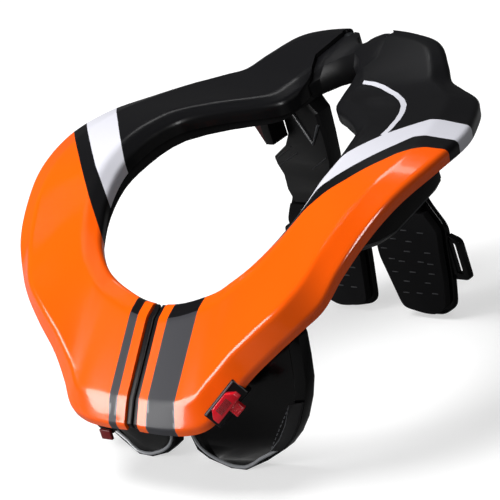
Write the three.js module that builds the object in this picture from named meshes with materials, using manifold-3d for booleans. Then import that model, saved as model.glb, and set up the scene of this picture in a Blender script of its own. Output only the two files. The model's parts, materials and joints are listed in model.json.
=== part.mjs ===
// A motocross neck brace: a ring in two swinging halves round the neck opening, joined by a bridge
// and two hinge pins at the back, split at the front, with pads, struts and rests under the ring.
// Millimetres, +Z up. +X is the wearer's left, +Y the wearer's back. The origin is the middle of the
// brace on the surface that its chest paddles and back wings stand on.

import * as THREE from 'three';
import { mergeVertices } from 'three/addons/utils/BufferGeometryUtils.js';
import Module from 'manifold-3d';

// Overall sizes
const WIDTH = 300;
const LENGTH = 272;
const HEIGHT = 164;

// Walls, running gaps and small forms of the ring
const FIT_GAP = 0.3;
const SHELL_WALL = 2.6;
const RIM_BEVEL_WIDTH = 8;
const LIP_TUCK = 1;
const CORE_INSET = 0.8;
const CORE_EDGE_WIDTH = 3;
const CORE_EDGE_DROP = 2;
const STEPS_PER_ROW = 2;

// Front split and its two mouldings
const SPLIT_WIDTH = 1.4;
const MOULDING_WIDTH = 4.2;
const MOULDING_RAISE = 1;

// Rear hinge and centre notch
const PIN_RADIUS = 2.8;
const PIN_SIDES = 24;
const NOTCH_RADIUS = 6.5;
const NOTCH_DEPTH = 10;
const NOTCH_MOUTH = 18;

// Chest paddles
const PADDLE_WALL = 6;
const PADDLE_RIM_WIDTH = 7;
const PADDLE_RIM_RAISE = 2;
const PADDLE_RIM_SLOPE = 2;
const PADDLE_BOW = 3;
const FLAP_WALL = 2;
const FLAP_WIDTH = 9;

// Shoulder pads and struts
const PAD_CHAMFER = HEIGHT / 41;
const PAD_INNER_CHAMFER = 1;
const STRUT_CHAMFER = 1.5;

// Back wings, their pads and strap loops
const WING_WALL = 4;
const WING_CORNER = 4;
const WING_PAD_THICKNESS = 5;
const WING_PAD_BORDER = 3;
const LOOP_BAR = 4;
const LOOP_SLOT_WIDTH = 5;
const LOOP_SLOT_HEIGHT = 25;
const LOOP_GRIP = 8;
const LOOP_CORNER = 3;

// Front latch on the wearer's left
const LATCH_LENGTH = 28;
const LATCH_HEIGHT = 12;
const LATCH_PLATE = 3;
const LATCH_FOOT = 6;
const SLIDER_LENGTH = 20;
const SLIDER_HEIGHT = 8;
const SLIDER_DEPTH = 6;
const SLIDER_END = 4;
const KNOB_SIZE = 7;
const KNOB_DROP = 6;

// Adjuster under each rear panel and catch under each side of the front lip
const TAB_WIDTH = 8;
const TAB_SLANT = 16;
const TAB_INSET = 1;
const CATCH_CHAMFER = 4;
const PULL_WALL = 2;

const HALF_WIDTH = WIDTH / 2;

// The ring from the front centre round the +X side to the rear centre. Each place is a share of
// [half the width, the length from the front lip, the height]. rim is the upper inner edge, crease
// the edge between plate and side facet, lip the lower outer edge.
const RING = [
  { at: 'front centre', rim: [0.000, 0.176, 0.579], crease: [0.000, 0.029, 0.341], lip: [0.000, 0.002, 0.268] },
  { at: 'front band', rim: [0.110, 0.182, 0.585], crease: [0.147, 0.028, 0.341], lip: [0.160, 0.006, 0.262] },
  { at: 'front bend', rim: [0.233, 0.197, 0.610], crease: [0.267, 0.031, 0.351], lip: [0.293, 0.015, 0.268] },
  { at: 'front corner', rim: [0.303, 0.208, 0.631], crease: [0.327, 0.040, 0.366], lip: [0.373, 0.029, 0.290] },
  { at: 'latch seat', rim: [0.353, 0.219, 0.655], crease: [0.387, 0.068, 0.421], lip: [0.440, 0.062, 0.348] },
  { at: 'front arm', rim: [0.413, 0.243, 0.686], crease: [0.480, 0.099, 0.500], lip: [0.527, 0.099, 0.427] },
  { at: 'arm middle', rim: [0.463, 0.272, 0.720], crease: [0.600, 0.132, 0.579], lip: [0.647, 0.136, 0.512] },
  { at: 'arm end', rim: [0.503, 0.309, 0.756], crease: [0.693, 0.165, 0.640], lip: [0.747, 0.173, 0.579] },
  { at: 'side corner', rim: [0.537, 0.349, 0.796], crease: [0.753, 0.213, 0.701], lip: [0.817, 0.210, 0.631] },
  { at: 'side front', rim: [0.559, 0.393, 0.835], crease: [0.800, 0.272, 0.780], lip: [0.873, 0.257, 0.720] },
  { at: 'side middle', rim: [0.567, 0.445, 0.875], crease: [0.840, 0.338, 0.848], lip: [0.920, 0.324, 0.799] },
  { at: 'side rear', rim: [0.565, 0.496, 0.896], crease: [0.873, 0.419, 0.896], lip: [0.967, 0.412, 0.866] },
  { at: 'widest', rim: [0.543, 0.559, 0.915], crease: [0.887, 0.522, 0.924], lip: [1.000, 0.537, 0.902] },
  { at: 'tab root', rim: [0.497, 0.619, 0.921], crease: [0.853, 0.625, 0.933], lip: [0.973, 0.651, 0.905] },
  { at: 'tab edge', rim: [0.353, 0.684, 0.915], crease: [0.787, 0.713, 0.927], lip: [0.880, 0.746, 0.896] },
  { at: 'outer corner', rim: [0.207, 0.735, 0.902], crease: [0.707, 0.787, 0.921], lip: [0.787, 0.818, 0.890] },
  { at: 'tab tip', rim: [0.163, 0.757, 0.899], crease: [0.653, 0.812, 0.921], lip: [0.747, 0.835, 0.890] },
  { at: 'wing edge', rim: [0.147, 0.779, 0.902], crease: [0.587, 0.838, 0.924], lip: [0.647, 0.860, 0.896] },
  { at: 'hollow corner', rim: [0.137, 0.798, 0.907], crease: [0.513, 0.860, 0.930], lip: [0.560, 0.882, 0.909] },
  { at: 'rear slope', rim: [0.127, 0.816, 0.910], crease: [0.447, 0.904, 0.951], lip: [0.480, 0.928, 0.942] },
  { at: 'rear corner', rim: [0.120, 0.831, 0.915], crease: [0.360, 0.952, 0.979], lip: [0.380, 0.978, 0.976] },
  { at: 'rear edge', rim: [0.113, 0.842, 0.918], crease: [0.240, 0.971, 0.994], lip: [0.253, 0.993, 0.994] },
  { at: 'seam', rim: [0.100, 0.857, 0.921], crease: [0.093, 0.974, 1.000], lip: [0.093, 1.000, 1.000] },
  { at: 'rear centre', rim: [0.000, 0.915, 0.927], crease: [0.000, 0.967, 0.997], lip: [0.000, 0.993, 0.997] },
];

// Heights of the ring's edges, in millimetres, at the front, the sides and the back: the inner wall,
// the lip's skirt, the core under the inner wall, and the plate above the straight line from rim to crease.
const EDGES = {
  front: { wall: 4, skirt: 3, drop: 8, rise: 2.4 },
  side: { wall: 6, skirt: 5, drop: 8, rise: 4.5 },
  back: { wall: 7, skirt: 8, drop: 3, rise: 3 },
};

// Half of a chest paddle's rows from its foot to its root under the ring, inner and outer end.
const PADDLE = [
  { at: 'foot', inner: [0.220, 0.127, 0.000], outer: [0.300, 0.129, 0.000] },
  { at: 'lower bevel', inner: [0.113, 0.125, 0.030], outer: [0.407, 0.143, 0.037] },
  { at: 'flap end', inner: [0.063, 0.125, 0.061], outer: [0.507, 0.153, 0.085] },
  { at: 'inner corner', inner: [0.050, 0.127, 0.098], outer: [0.567, 0.158, 0.134] },
  { at: 'lower panel', inner: [0.050, 0.121, 0.159], outer: [0.620, 0.162, 0.195] },
  { at: 'middle', inner: [0.053, 0.107, 0.244], outer: [0.673, 0.165, 0.280] },
  { at: 'upper panel', inner: [0.067, 0.088, 0.317], outer: [0.703, 0.169, 0.354] },
  { at: 'neck', inner: [0.133, 0.088, 0.366], outer: [0.717, 0.173, 0.439] },
  { at: 'shoulder', inner: [0.207, 0.099, 0.409], outer: [0.723, 0.178, 0.524] },
  { at: 'root', inner: [0.253, 0.110, 0.445], outer: [0.693, 0.186, 0.573] },
];

// A shoulder pad's rows from front to back, each with its inner and outer end.
const SHOULDER = [
  { inner: { x: 0.600, y: 0.309, floor: 0.774, roof: 0.817 }, outer: { x: 0.840, y: 0.298, floor: 0.744, roof: 0.768 } },
  { inner: { x: 0.587, y: 0.338, floor: 0.768, roof: 0.835 }, outer: { x: 0.893, y: 0.327, floor: 0.729, roof: 0.793 } },
  { inner: { x: 0.573, y: 0.371, floor: 0.784, roof: 0.854 }, outer: { x: 0.923, y: 0.368, floor: 0.720, roof: 0.829 } },
  { inner: { x: 0.573, y: 0.415, floor: 0.799, roof: 0.878 }, outer: { x: 0.937, y: 0.415, floor: 0.720, roof: 0.866 } },
  { inner: { x: 0.570, y: 0.485, floor: 0.848, roof: 0.896 }, outer: { x: 0.943, y: 0.493, floor: 0.747, roof: 0.902 } },
  { inner: { x: 0.553, y: 0.551, floor: 0.857, roof: 0.902 }, outer: { x: 0.943, y: 0.551, floor: 0.765, roof: 0.909 } },
  { inner: { x: 0.530, y: 0.603, floor: 0.863, roof: 0.902 }, outer: { x: 0.933, y: 0.581, floor: 0.780, roof: 0.909 } },
  { inner: { x: 0.533, y: 0.625, floor: 0.872, roof: 0.902 }, outer: { x: 0.893, y: 0.599, floor: 0.805, roof: 0.909 } },
];

// A strut's rows from its seat under the ring down to its foot on the wing.
const STRUT = [
  { at: 'seat', z: 0.8902, innerX: 0.167, outerX: 0.293, frontY: 0.8199, rearY: 0.8676 },
  { at: 'block top', z: 0.8476, innerX: 0.133, outerX: 0.297, frontY: 0.8143, rearY: 0.8676 },
  { at: 'block', z: 0.8110, innerX: 0.093, outerX: 0.297, frontY: 0.8125, rearY: 0.8603 },
  { at: 'block foot', z: 0.7195, innerX: 0.087, outerX: 0.300, frontY: 0.8125, rearY: 0.8529 },
  { at: 'shoulder', z: 0.6707, innerX: 0.087, outerX: 0.333, frontY: 0.8107, rearY: 0.8493 },
  { at: 'fan', z: 0.6220, innerX: 0.087, outerX: 0.413, frontY: 0.8088, rearY: 0.8456 },
  { at: 'fan foot', z: 0.5976, innerX: 0.093, outerX: 0.407, frontY: 0.8070, rearY: 0.8419 },
  { at: 'waist', z: 0.5573, innerX: 0.107, outerX: 0.380, frontY: 0.8033, rearY: 0.8382 },
  { at: 'step', z: 0.5524, innerX: 0.107, outerX: 0.380, frontY: 0.8033, rearY: 0.8110 },
  { at: 'tongue', z: 0.5000, innerX: 0.127, outerX: 0.373, frontY: 0.7978, rearY: 0.8110 },
  { at: 'foot', z: 0.4512, innerX: 0.133, outerX: 0.347, frontY: 0.7941, rearY: 0.8110 },
];

// A wing's outline from its foot round its outer edge, [x, z] as shares of half the width and height.
const WING = [
  [0.213, 0.000], [0.280, 0.000], [0.343, 0.030], [0.363, 0.055], [0.393, 0.159], [0.417, 0.293],
  [0.433, 0.354], [0.430, 0.384], [0.380, 0.463], [0.347, 0.549], [0.133, 0.549], [0.060, 0.439],
  [0.033, 0.256], [0.080, 0.043], [0.107, 0.018],
];
const WING_Y = 0.8125;
const WING_PAD_TOP = 0.442;

// The seam between half and bridge, [x, y], from behind the rear edge into the neck opening.
const SEAM = [[0.117, 1.030], [0.117, 0.989], [0.170, 0.904], [0.120, 0.849], [0.120, 0.800]];
const PIN = SEAM[1];

// Places of the small pieces, [x, y, z] or [x, z], as shares.
const LOOP_AT = [0.443, 0.262];
const ADJUSTER = { innerX: 0.316, outerX: 0.360, frontY: 0.774, rearY: 0.824, floor: 0.707, roof: 0.885 };
const CATCH = { innerX: 0.173, outerX: 0.280, frontY: 0.029, rearY: 0.081, floor: 0.183, roof: 0.284 };
const PULL = { innerX: 0.200, outerX: 0.260, floor: 0.162, roof: 0.201 };
const FLAP_ROWS = { from: 0.085, to: 0.3 };

const wasm = await Module();
wasm.setup();

// A place from its shares of half the width, the length and the height.
function place([x, y, z]) {
  return new THREE.Vector3(x * HALF_WIDTH, (y - 0.5) * LENGTH, z * HEIGHT);
}

const placeX = (share) => share * HALF_WIDTH;
const placeY = (share) => (share - 0.5) * LENGTH;
const placeZ = (share) => share * HEIGHT;

// A closed body through rings of points of equal count, with both ends capped.
function loft(rings) {
  const count = rings[0].length;
  const positions = rings.flat().flatMap((point) => [point.x, point.y, point.z]);
  const faces = [];
  for (let ring = 0; ring + 1 < rings.length; ring += 1) {
    for (let corner = 0; corner < count; corner += 1) {
      const next = (corner + 1) % count;
      const near = [ring * count + corner, ring * count + next];
      const far = near.map((index) => index + count);
      const falling = rings[ring][corner].distanceTo(rings[ring + 1][next]);
      const rising = rings[ring][next].distanceTo(rings[ring + 1][corner]);
      if (falling < rising) {
        faces.push([near[0], near[1], far[1]], [near[0], far[1], far[0]]);
      } else {
        faces.push([near[0], near[1], far[0]], [near[1], far[1], far[0]]);
      }
    }
  }
  const last = (rings.length - 1) * count;
  capFaces(rings[0]).forEach(([a, b, c]) => faces.push([a, c, b]));
  capFaces(rings[rings.length - 1]).forEach(([a, b, c]) => faces.push([last + a, last + b, last + c]));
  const geometry = new THREE.BufferGeometry();
  geometry.setAttribute('position', new THREE.Float32BufferAttribute(positions, 3));
  geometry.setIndex(faces.flat());
  return facingOut(geometry);
}

// Triangles over one ring of points, turning the way that the ring runs.
function capFaces(ring) {
  const normal = new THREE.Vector3();
  ring.forEach((point, index) => {
    normal.add(new THREE.Vector3().crossVectors(point, ring[(index + 1) % ring.length]));
  });
  normal.normalize();
  const along = new THREE.Vector3().subVectors(ring[1], ring[0]);
  along.addScaledVector(normal, -along.dot(normal)).normalize();
  const across = new THREE.Vector3().crossVectors(normal, along);
  const flat = ring.map((point) => new THREE.Vector2(point.dot(along), point.dot(across)));
  return THREE.ShapeUtils.triangulateShape(flat, []).map(([a, b, c]) => {
    const turn = (flat[b].x - flat[a].x) * (flat[c].y - flat[a].y)
      - (flat[b].y - flat[a].y) * (flat[c].x - flat[a].x);
    return turn > 0 ? [a, b, c] : [a, c, b];
  });
}

// The same geometry with its faces turned outwards.
function facingOut(geometry) {
  const index = geometry.index.array;
  const position = geometry.attributes.position;
  const corners = [0, 1, 2].map(() => new THREE.Vector3());
  let volume = 0;
  for (let face = 0; face < index.length; face += 3) {
    corners.forEach((corner, step) => corner.fromBufferAttribute(position, index[face + step]));
    volume += corners[0].dot(corners[1].clone().cross(corners[2]));
  }
  if (volume < 0) {
    geometry.setIndex(Array.from(index).reverse());
  }
  return geometry;
}

// A geometry as a solid that can be cut and joined.
function solid(geometry) {
  const bare = geometry.clone();
  bare.deleteAttribute('normal');
  bare.deleteAttribute('uv');
  const merged = mergeVertices(bare, 1e-4);
  return new wasm.Manifold(new wasm.Mesh({
    numProp: 3,
    vertProperties: Float32Array.from(merged.attributes.position.array),
    triVerts: Uint32Array.from(merged.index.array),
  }));
}

// A cut solid back as a geometry.
function geometryOf(body) {
  const mesh = body.getMesh();
  const geometry = new THREE.BufferGeometry();
  geometry.setAttribute('position', new THREE.Float32BufferAttribute(mesh.vertProperties, 3));
  geometry.setIndex(Array.from(mesh.triVerts));
  return geometry;
}

const isSolid = (body) => body instanceof wasm.Manifold;
const asSolid = (body) => (isSolid(body) ? body : solid(body));
const cut = (body, ...tools) => tools.reduce((left, tool) => left.subtract(asSolid(tool)), asSolid(body));

// A box from its lowest and highest corners.
function boxBetween(low, high) {
  const size = new THREE.Vector3().subVectors(high, low);
  const middle = new THREE.Vector3().addVectors(low, high).multiplyScalar(0.5);
  return new THREE.BoxGeometry(size.x, size.y, size.z).translate(middle.x, middle.y, middle.z);
}

// A closed outline moved outwards by a distance, or inwards by a negative one.
function grownOutline(points, distance) {
  const turning = THREE.ShapeUtils.area(points) > 0 ? 1 : -1;
  return points.map((point, index) => {
    const before = points[(index + points.length - 1) % points.length];
    const after = points[(index + 1) % points.length];
    const first = sideNormal(before, point).multiplyScalar(turning);
    const second = sideNormal(point, after).multiplyScalar(turning);
    const miter = distance / (1 + first.dot(second));
    return point.clone().addScaledVector(first.add(second), miter);
  });
}

// The unit normal on the right of the way from one flat point to another.
function sideNormal(from, to) {
  return new THREE.Vector2(to.y - from.y, from.x - to.x).normalize();
}

// A shape through flat points, with its corners rounded by curves that start a distance away.
function roundedShape(points, corner) {
  const shape = new THREE.Shape();
  points.forEach((point, index) => {
    const before = points[(index + points.length - 1) % points.length];
    const after = points[(index + 1) % points.length];
    const reachIn = Math.min(corner, point.distanceTo(before) / 2.2);
    const reachOut = Math.min(corner, point.distanceTo(after) / 2.2);
    const enter = point.clone().add(before.clone().sub(point).setLength(reachIn));
    const leave = point.clone().add(after.clone().sub(point).setLength(reachOut));
    if (index === 0) {
      shape.moveTo(enter.x, enter.y);
    } else {
      shape.lineTo(enter.x, enter.y);
    }
    shape.quadraticCurveTo(point.x, point.y, leave.x, leave.y);
  });
  shape.closePath();
  return shape;
}

// A shape drawn in x and z, as a plate between two places along y.
function plateAlongY(shape, frontY, rearY) {
  const settings = { depth: rearY - frontY, bevelEnabled: false, curveSegments: 3 };
  return new THREE.ExtrudeGeometry(shape, settings).rotateX(Math.PI / 2).translate(0, rearY, 0);
}

// A smooth track through one named edge of the ring, square to the mid plane at both ends.
function ringTrack(edge) {
  const points = RING.map((row) => place(row[edge]));
  const mirrored = (point) => new THREE.Vector3(-point.x, point.y, point.z);
  return new THREE.CatmullRomCurve3([mirrored(points[1]), ...points, mirrored(points[points.length - 2])]);
}

// The height of one of the ring's edges at a share of the way from front to back.
function edgeHeight(name, share) {
  const { front, side, back } = EDGES;
  const middle = 0.5;
  return share < middle
    ? THREE.MathUtils.lerp(front[name], side[name], share / middle)
    : THREE.MathUtils.lerp(side[name], back[name], Math.min(1, (share - middle) * 4));
}

// The ring's stations: each holds its three edges, its outward direction and its edge heights.
function ringStations() {
  const tracks = { rim: ringTrack('rim'), crease: ringTrack('crease'), lip: ringTrack('lip') };
  const spans = RING.length + 1;
  const steps = (RING.length - 1) * STEPS_PER_ROW;
  return Array.from({ length: steps + 1 }, (_, step) => {
    const share = step / steps;
    const at = (1 + step / STEPS_PER_ROW) / spans;
    const [rim, crease, lip] = [tracks.rim, tracks.crease, tracks.lip].map((track) => track.getPoint(at));
    if (step === 0 || step === steps) {
      [rim, crease, lip].forEach((point) => point.setX(0));
    }
    const out = new THREE.Vector3(lip.x - rim.x, lip.y - rim.y, 0).normalize();
    return {
      rim,
      crease,
      lip,
      out,
      wall: edgeHeight('wall', share),
      skirt: edgeHeight('skirt', share),
      drop: edgeHeight('drop', share),
      rise: edgeHeight('rise', share),
    };
  });
}

// The outer line of a station, as flat points: x outwards from the rim, y up, side the skew.
function outerLine(station) {
  const flat = (point) => {
    const from = new THREE.Vector3().subVectors(point, station.rim);
    const side = from.x * -station.out.y + from.y * station.out.x;
    return Object.assign(new THREE.Vector2(from.dot(station.out), from.z), { side });
  };
  const rim = flat(station.rim);
  const crease = flat(station.crease);
  const lip = flat(station.lip);
  const slope = crease.clone().sub(rim).normalize();
  const bevel = rim.clone().addScaledVector(slope, RIM_BEVEL_WIDTH);
  bevel.add(new THREE.Vector2(-slope.y, slope.x).multiplyScalar(station.rise));
  bevel.side = crease.side * RIM_BEVEL_WIDTH / crease.length();
  const wallFoot = Object.assign(new THREE.Vector2(0, -station.wall), { side: 0 });
  const skirtFoot = Object.assign(new THREE.Vector2(lip.x - LIP_TUCK, lip.y - station.skirt), { side: 0 });
  return [wallFoot, rim, bevel, crease, lip, skirtFoot];
}

// A station's line moved inwards by a distance.
function inwardLine(line, distance) {
  return line.map((point, index) => {
    const before = line[Math.max(0, index - 1)];
    const after = line[Math.min(line.length - 1, index + 1)];
    const first = index === 0 ? sideNormal(point, after) : sideNormal(before, point);
    const second = index === line.length - 1 ? first : sideNormal(point, after);
    const sum = first.clone().add(second);
    const moved = new THREE.Vector2(point.x, point.y).addScaledVector(sum, distance / (1 + first.dot(second)));
    return Object.assign(moved, { side: point.side });
  });
}

// The two lower corners of the core at a station, from the outer edge to the inner one.
function coreFloor(station, line, grow) {
  const wallFoot = line[0];
  const skirtFoot = line[line.length - 1];
  const outer = new THREE.Vector2(skirtFoot.x - SHELL_WALL - CORE_EDGE_WIDTH, skirtFoot.y - CORE_EDGE_DROP - grow);
  const inner = new THREE.Vector2(CORE_INSET - grow, wallFoot.y - station.drop - grow);
  return [outer, inner].map((point) => Object.assign(point, { side: 0 }));
}

// Flat points of a station back in space.
function inSpace(station, points) {
  const across = new THREE.Vector3(-station.out.y, station.out.x, 0);
  return points.map((point) => station.rim.clone()
    .addScaledVector(station.out, point.x)
    .addScaledVector(across, point.side)
    .add(new THREE.Vector3(0, 0, point.y)));
}

// The section of the hollow shell, its wall grown on both faces by a distance.
function shellSection(station, grow) {
  const line = outerLine(station);
  const section = [...inwardLine(line, -grow), ...inwardLine(line, SHELL_WALL + grow).reverse()];
  section[0].y -= grow;
  section[section.length - 1].y -= grow;
  return inSpace(station, section);
}

// The section of the core that fills the shell from below, up to the shell's wall.
function coreSection(station) {
  const line = outerLine(station);
  const top = inwardLine(line, SHELL_WALL);
  const shoulder = Object.assign(new THREE.Vector2(CORE_INSET, top[0].y), { side: 0 });
  return inSpace(station, [shoulder, ...top, ...coreFloor(station, line, 0)]);
}

// The section of shell and core together, grown all round by a distance.
function wholeSection(station, grow) {
  const line = outerLine(station);
  return inSpace(station, [...inwardLine(line, -grow), ...coreFloor(station, line, grow)]);
}

const stations = ringStations();
const stationAt = (name) => RING.findIndex((row) => row.at === name) * STEPS_PER_ROW;

// The whole half ring, grown by a distance: what pads and struts seat against.
function halfRing(grow) {
  return solid(loft(stations.map((station) => wholeSection(station, grow))));
}

// The shell of the whole half ring, its wall grown by a distance.
function hollowShell(grow) {
  return loft(stations.map((station) => shellSection(station, grow)));
}

// The largest body of a solid, without the crumbs that a cut along a curved face can leave.
function largest(body) {
  return body.decompose().reduce((most, next) => (next.volume() > most.volume() ? next : most));
}

// The plan of the rear bridge, grown by a distance, as a prism through the ring.
function bridgePrism(grow) {
  const side = SEAM.map(([x, y]) => new THREE.Vector2(placeX(x), placeY(y)));
  const other = side.map((point) => new THREE.Vector2(-point.x, point.y)).reverse();
  const outline = grownOutline([...side, ...other], grow);
  return new THREE.ExtrudeGeometry(new THREE.Shape(outline), { depth: HEIGHT * 2, bevelEnabled: false });
}

// A hinge pin's bore, or the pin itself, open to the rear so that the half can swing round it.
function pinPost(radius, openToRear) {
  const [x, y] = [placeX(PIN[0]), placeY(PIN[1])];
  const post = new THREE.CylinderGeometry(radius, radius, HEIGHT * 2, PIN_SIDES).rotateX(Math.PI / 2);
  const round = solid(post.translate(x, y, 0));
  if (!openToRear) {
    return round;
  }
  const low = new THREE.Vector3(x - radius, y, -HEIGHT);
  return round.add(solid(boxBetween(low, new THREE.Vector3(x + radius, y + LENGTH, HEIGHT * 2))));
}

// The notch in the middle of the rear edge: round at its floor and wider at its mouth.
function rearNotch() {
  const edge = placeY(RING[RING.length - 1].lip[1]);
  const floor = edge - NOTCH_DEPTH;
  const shape = new THREE.Shape();
  shape.moveTo(-NOTCH_MOUTH, edge + NOTCH_DEPTH);
  shape.lineTo(-NOTCH_MOUTH / 2, edge);
  shape.lineTo(-NOTCH_RADIUS, floor + NOTCH_RADIUS);
  shape.absarc(0, floor + NOTCH_RADIUS, NOTCH_RADIUS, Math.PI, 2 * Math.PI, false);
  shape.lineTo(NOTCH_MOUTH / 2, edge);
  shape.lineTo(NOTCH_MOUTH, edge + NOTCH_DEPTH);
  return new THREE.ExtrudeGeometry(shape, { depth: HEIGHT * 2, bevelEnabled: false, curveSegments: 8 });
}

// What the halves leave free at the front: the split and its moulding.
function frontStrip() {
  const reach = SPLIT_WIDTH / 2 + MOULDING_WIDTH + FIT_GAP;
  return boxBetween(new THREE.Vector3(-reach, -LENGTH, 0), new THREE.Vector3(reach, 0, HEIGHT * 2));
}

// A moulding: the ring's own front section, raised a little, beside the split.
function frontMoulding() {
  const section = wholeSection(stations[0], 0);
  const line = outerLine(stations[0]);
  const raised = inSpace(stations[0], inwardLine(line, -MOULDING_RAISE));
  const floor = section.slice(line.length);
  const atX = (x) => [...raised, ...floor].map((point) => point.clone().setX(x));
  return loft([atX(SPLIT_WIDTH / 2), atX(SPLIT_WIDTH / 2 + MOULDING_WIDTH)]);
}

// A paddle as a bowed plate with a raised rim round its front face.
function chestPaddle() {
  const rings = PADDLE.map((row, index) => {
    const [inner, outer] = [place(row.inner), place(row.outer)];
    const width = inner.distanceTo(outer);
    const rim = Math.min(PADDLE_RIM_WIDTH / width, 0.3);
    const slope = Math.min(PADDLE_RIM_SLOPE / width, 0.1);
    const shares = [0, rim, rim + slope, 0.5, 1 - rim - slope, 1 - rim, 1];
    const border = index < 2 ? shares.length : 2;
    const front = shares.map((share, step) => {
      const point = inner.clone().lerp(outer, share);
      const raised = step < border || step >= shares.length - border;
      point.y -= PADDLE_BOW * Math.sin(Math.PI * share) * (index / PADDLE.length);
      return { point, lift: raised ? PADDLE_RIM_RAISE : 0 };
    });
    const face = front.map(({ point, lift }) => point.clone().add(new THREE.Vector3(0, -lift, 0)));
    const back = front.map(({ point }) => point.clone().add(new THREE.Vector3(0, PADDLE_WALL, 0)));
    return [...face, ...back.reverse()];
  });
  return loft(rings);
}

// The flexible tab along a paddle's lower outer edge, just in front of the paddle's rim.
function strapTab() {
  const lean = PADDLE_RIM_RAISE + FIT_GAP;
  const rows = PADDLE.filter((row) => row.outer[2] >= FLAP_ROWS.from && row.outer[2] <= FLAP_ROWS.to);
  const rings = rows.map((row) => {
    const outer = place(row.outer);
    const inner = outer.clone().lerp(place(row.inner), FLAP_WIDTH / outer.distanceTo(place(row.inner)));
    const front = new THREE.Vector3(0, -lean - FLAP_WALL, 0);
    const rear = new THREE.Vector3(0, -lean, 0);
    inner.y -= PADDLE_BOW * 0.3;
    return [inner.clone().add(front), outer.clone().add(front), outer.clone().add(rear), inner.clone().add(rear)];
  });
  return loft(rings);
}

// A shoulder pad's block before the ring is cut from its top.
function shoulderBlock() {
  return loft(SHOULDER.map(({ inner, outer }) => {
    const [innerX, innerY] = [placeX(inner.x), placeY(inner.y)];
    const [outerX, outerY] = [placeX(outer.x), placeY(outer.y)];
    return [
      [innerX, innerY, placeZ(inner.floor) + PAD_INNER_CHAMFER],
      [innerX + PAD_INNER_CHAMFER, innerY, placeZ(inner.floor)],
      [outerX - PAD_CHAMFER, outerY, placeZ(outer.floor)],
      [outerX, outerY, placeZ(outer.floor) + PAD_CHAMFER],
      [outerX, outerY, placeZ(outer.roof) + FIT_GAP],
      [innerX, innerY, placeZ(inner.roof) + FIT_GAP],
    ].map((point) => new THREE.Vector3(...point));
  }));
}

// A strut before the ring is cut from its top.
function strutBlock() {
  return loft(STRUT.map((row) => {
    const [innerX, outerX, z] = [placeX(row.innerX), placeX(row.outerX), placeZ(row.z)];
    const [frontY, rearY] = [placeY(row.frontY), placeY(row.rearY)];
    return [
      [innerX, frontY + STRUT_CHAMFER],
      [innerX + STRUT_CHAMFER, frontY],
      [outerX - STRUT_CHAMFER, frontY],
      [outerX, frontY + STRUT_CHAMFER],
      [outerX, rearY],
      [innerX, rearY],
    ].map(([x, y]) => new THREE.Vector3(x, y, z));
  }));
}

const wingOutline = WING.map(([x, z]) => new THREE.Vector2(placeX(x), placeZ(z)));

// The hard plate of a wing.
function wingPlate() {
  return plateAlongY(roundedShape(wingOutline, WING_CORNER), placeY(WING_Y), placeY(WING_Y) + WING_WALL);
}

// The pad on the front of a wing, under the strut's foot.
function wingPad() {
  const rear = placeY(WING_Y) - FIT_GAP;
  const shape = roundedShape(grownOutline(wingOutline, -WING_PAD_BORDER), WING_CORNER);
  const above = boxBetween(
    new THREE.Vector3(-WIDTH, -LENGTH, placeZ(WING_PAD_TOP)),
    new THREE.Vector3(WIDTH, LENGTH, HEIGHT * 2),
  );
  return cut(plateAlongY(shape, rear - WING_PAD_THICKNESS, rear), above);
}

// The strap loop beside a wing's outer edge, shaped to it.
function strapLoop() {
  const [x, z] = [placeX(LOOP_AT[0]), placeZ(LOOP_AT[1])];
  const reach = LOOP_SLOT_HEIGHT / 2 + LOOP_BAR;
  const outerX = x + LOOP_SLOT_WIDTH / 2 + LOOP_BAR;
  const innerX = x - LOOP_SLOT_WIDTH / 2 - LOOP_GRIP;
  const outline = [[innerX, z - reach], [outerX, z - reach], [outerX, z + reach * 0.6], [innerX, z + reach]];
  const shape = roundedShape(outline.map((point) => new THREE.Vector2(...point)), LOOP_CORNER);
  const slot = new THREE.Path();
  const [left, right] = [x - LOOP_SLOT_WIDTH / 2, x + LOOP_SLOT_WIDTH / 2];
  const [low, high] = [z - LOOP_SLOT_HEIGHT / 2, z + LOOP_SLOT_HEIGHT / 2];
  slot.moveTo(left, low);
  slot.lineTo(left, high);
  slot.lineTo(right, high - LOOP_SLOT_WIDTH);
  slot.lineTo(right, low);
  slot.closePath();
  shape.holes.push(slot);
  const [front, rear] = [placeY(WING_Y), placeY(WING_Y) + WING_WALL];
  const wing = roundedShape(grownOutline(wingOutline, FIT_GAP), WING_CORNER);
  return cut(plateAlongY(shape, front, rear), plateAlongY(wing, front - 1, rear + 1));
}

// The latch's own axes on the ring's lower edge: along it, outwards and up.
function latchFrame() {
  const index = stationAt('latch seat');
  const along = new THREE.Vector3().subVectors(stations[index + 1].lip, stations[index - 1].lip).normalize();
  const out = stations[index].out.clone();
  out.addScaledVector(along, -out.dot(along)).normalize();
  const up = new THREE.Vector3().crossVectors(out, along);
  if (up.z < 0) {
    up.negate();
  }
  return { at: stations[index].lip, along, out, up };
}

// A shape drawn along and up in the latch's frame, between two depths outwards.
function latchPlate(frame, outline, nearDepth, farDepth) {
  const level = (depth) => outline.map(([along, up]) => frame.at.clone()
    .addScaledVector(frame.along, along)
    .addScaledVector(frame.up, up)
    .addScaledVector(frame.out, depth));
  return loft([level(nearDepth), level(farDepth)]);
}

const rectangle = (left, right, low, high) => [[left, low], [right, low], [right, high], [left, high]];

const flatShape = (outline) => new THREE.Shape(outline.map((point) => new THREE.Vector2(...point)));

// The bracket plate of the latch, hooked under the ring's lower edge.
function latchBracket(frame) {
  const outline = rectangle(-LATCH_LENGTH / 2, LATCH_LENGTH / 2, -LATCH_HEIGHT * 0.6, LATCH_HEIGHT * 0.4);
  return latchPlate(frame, outline, -LATCH_FOOT, LATCH_PLATE);
}

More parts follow.
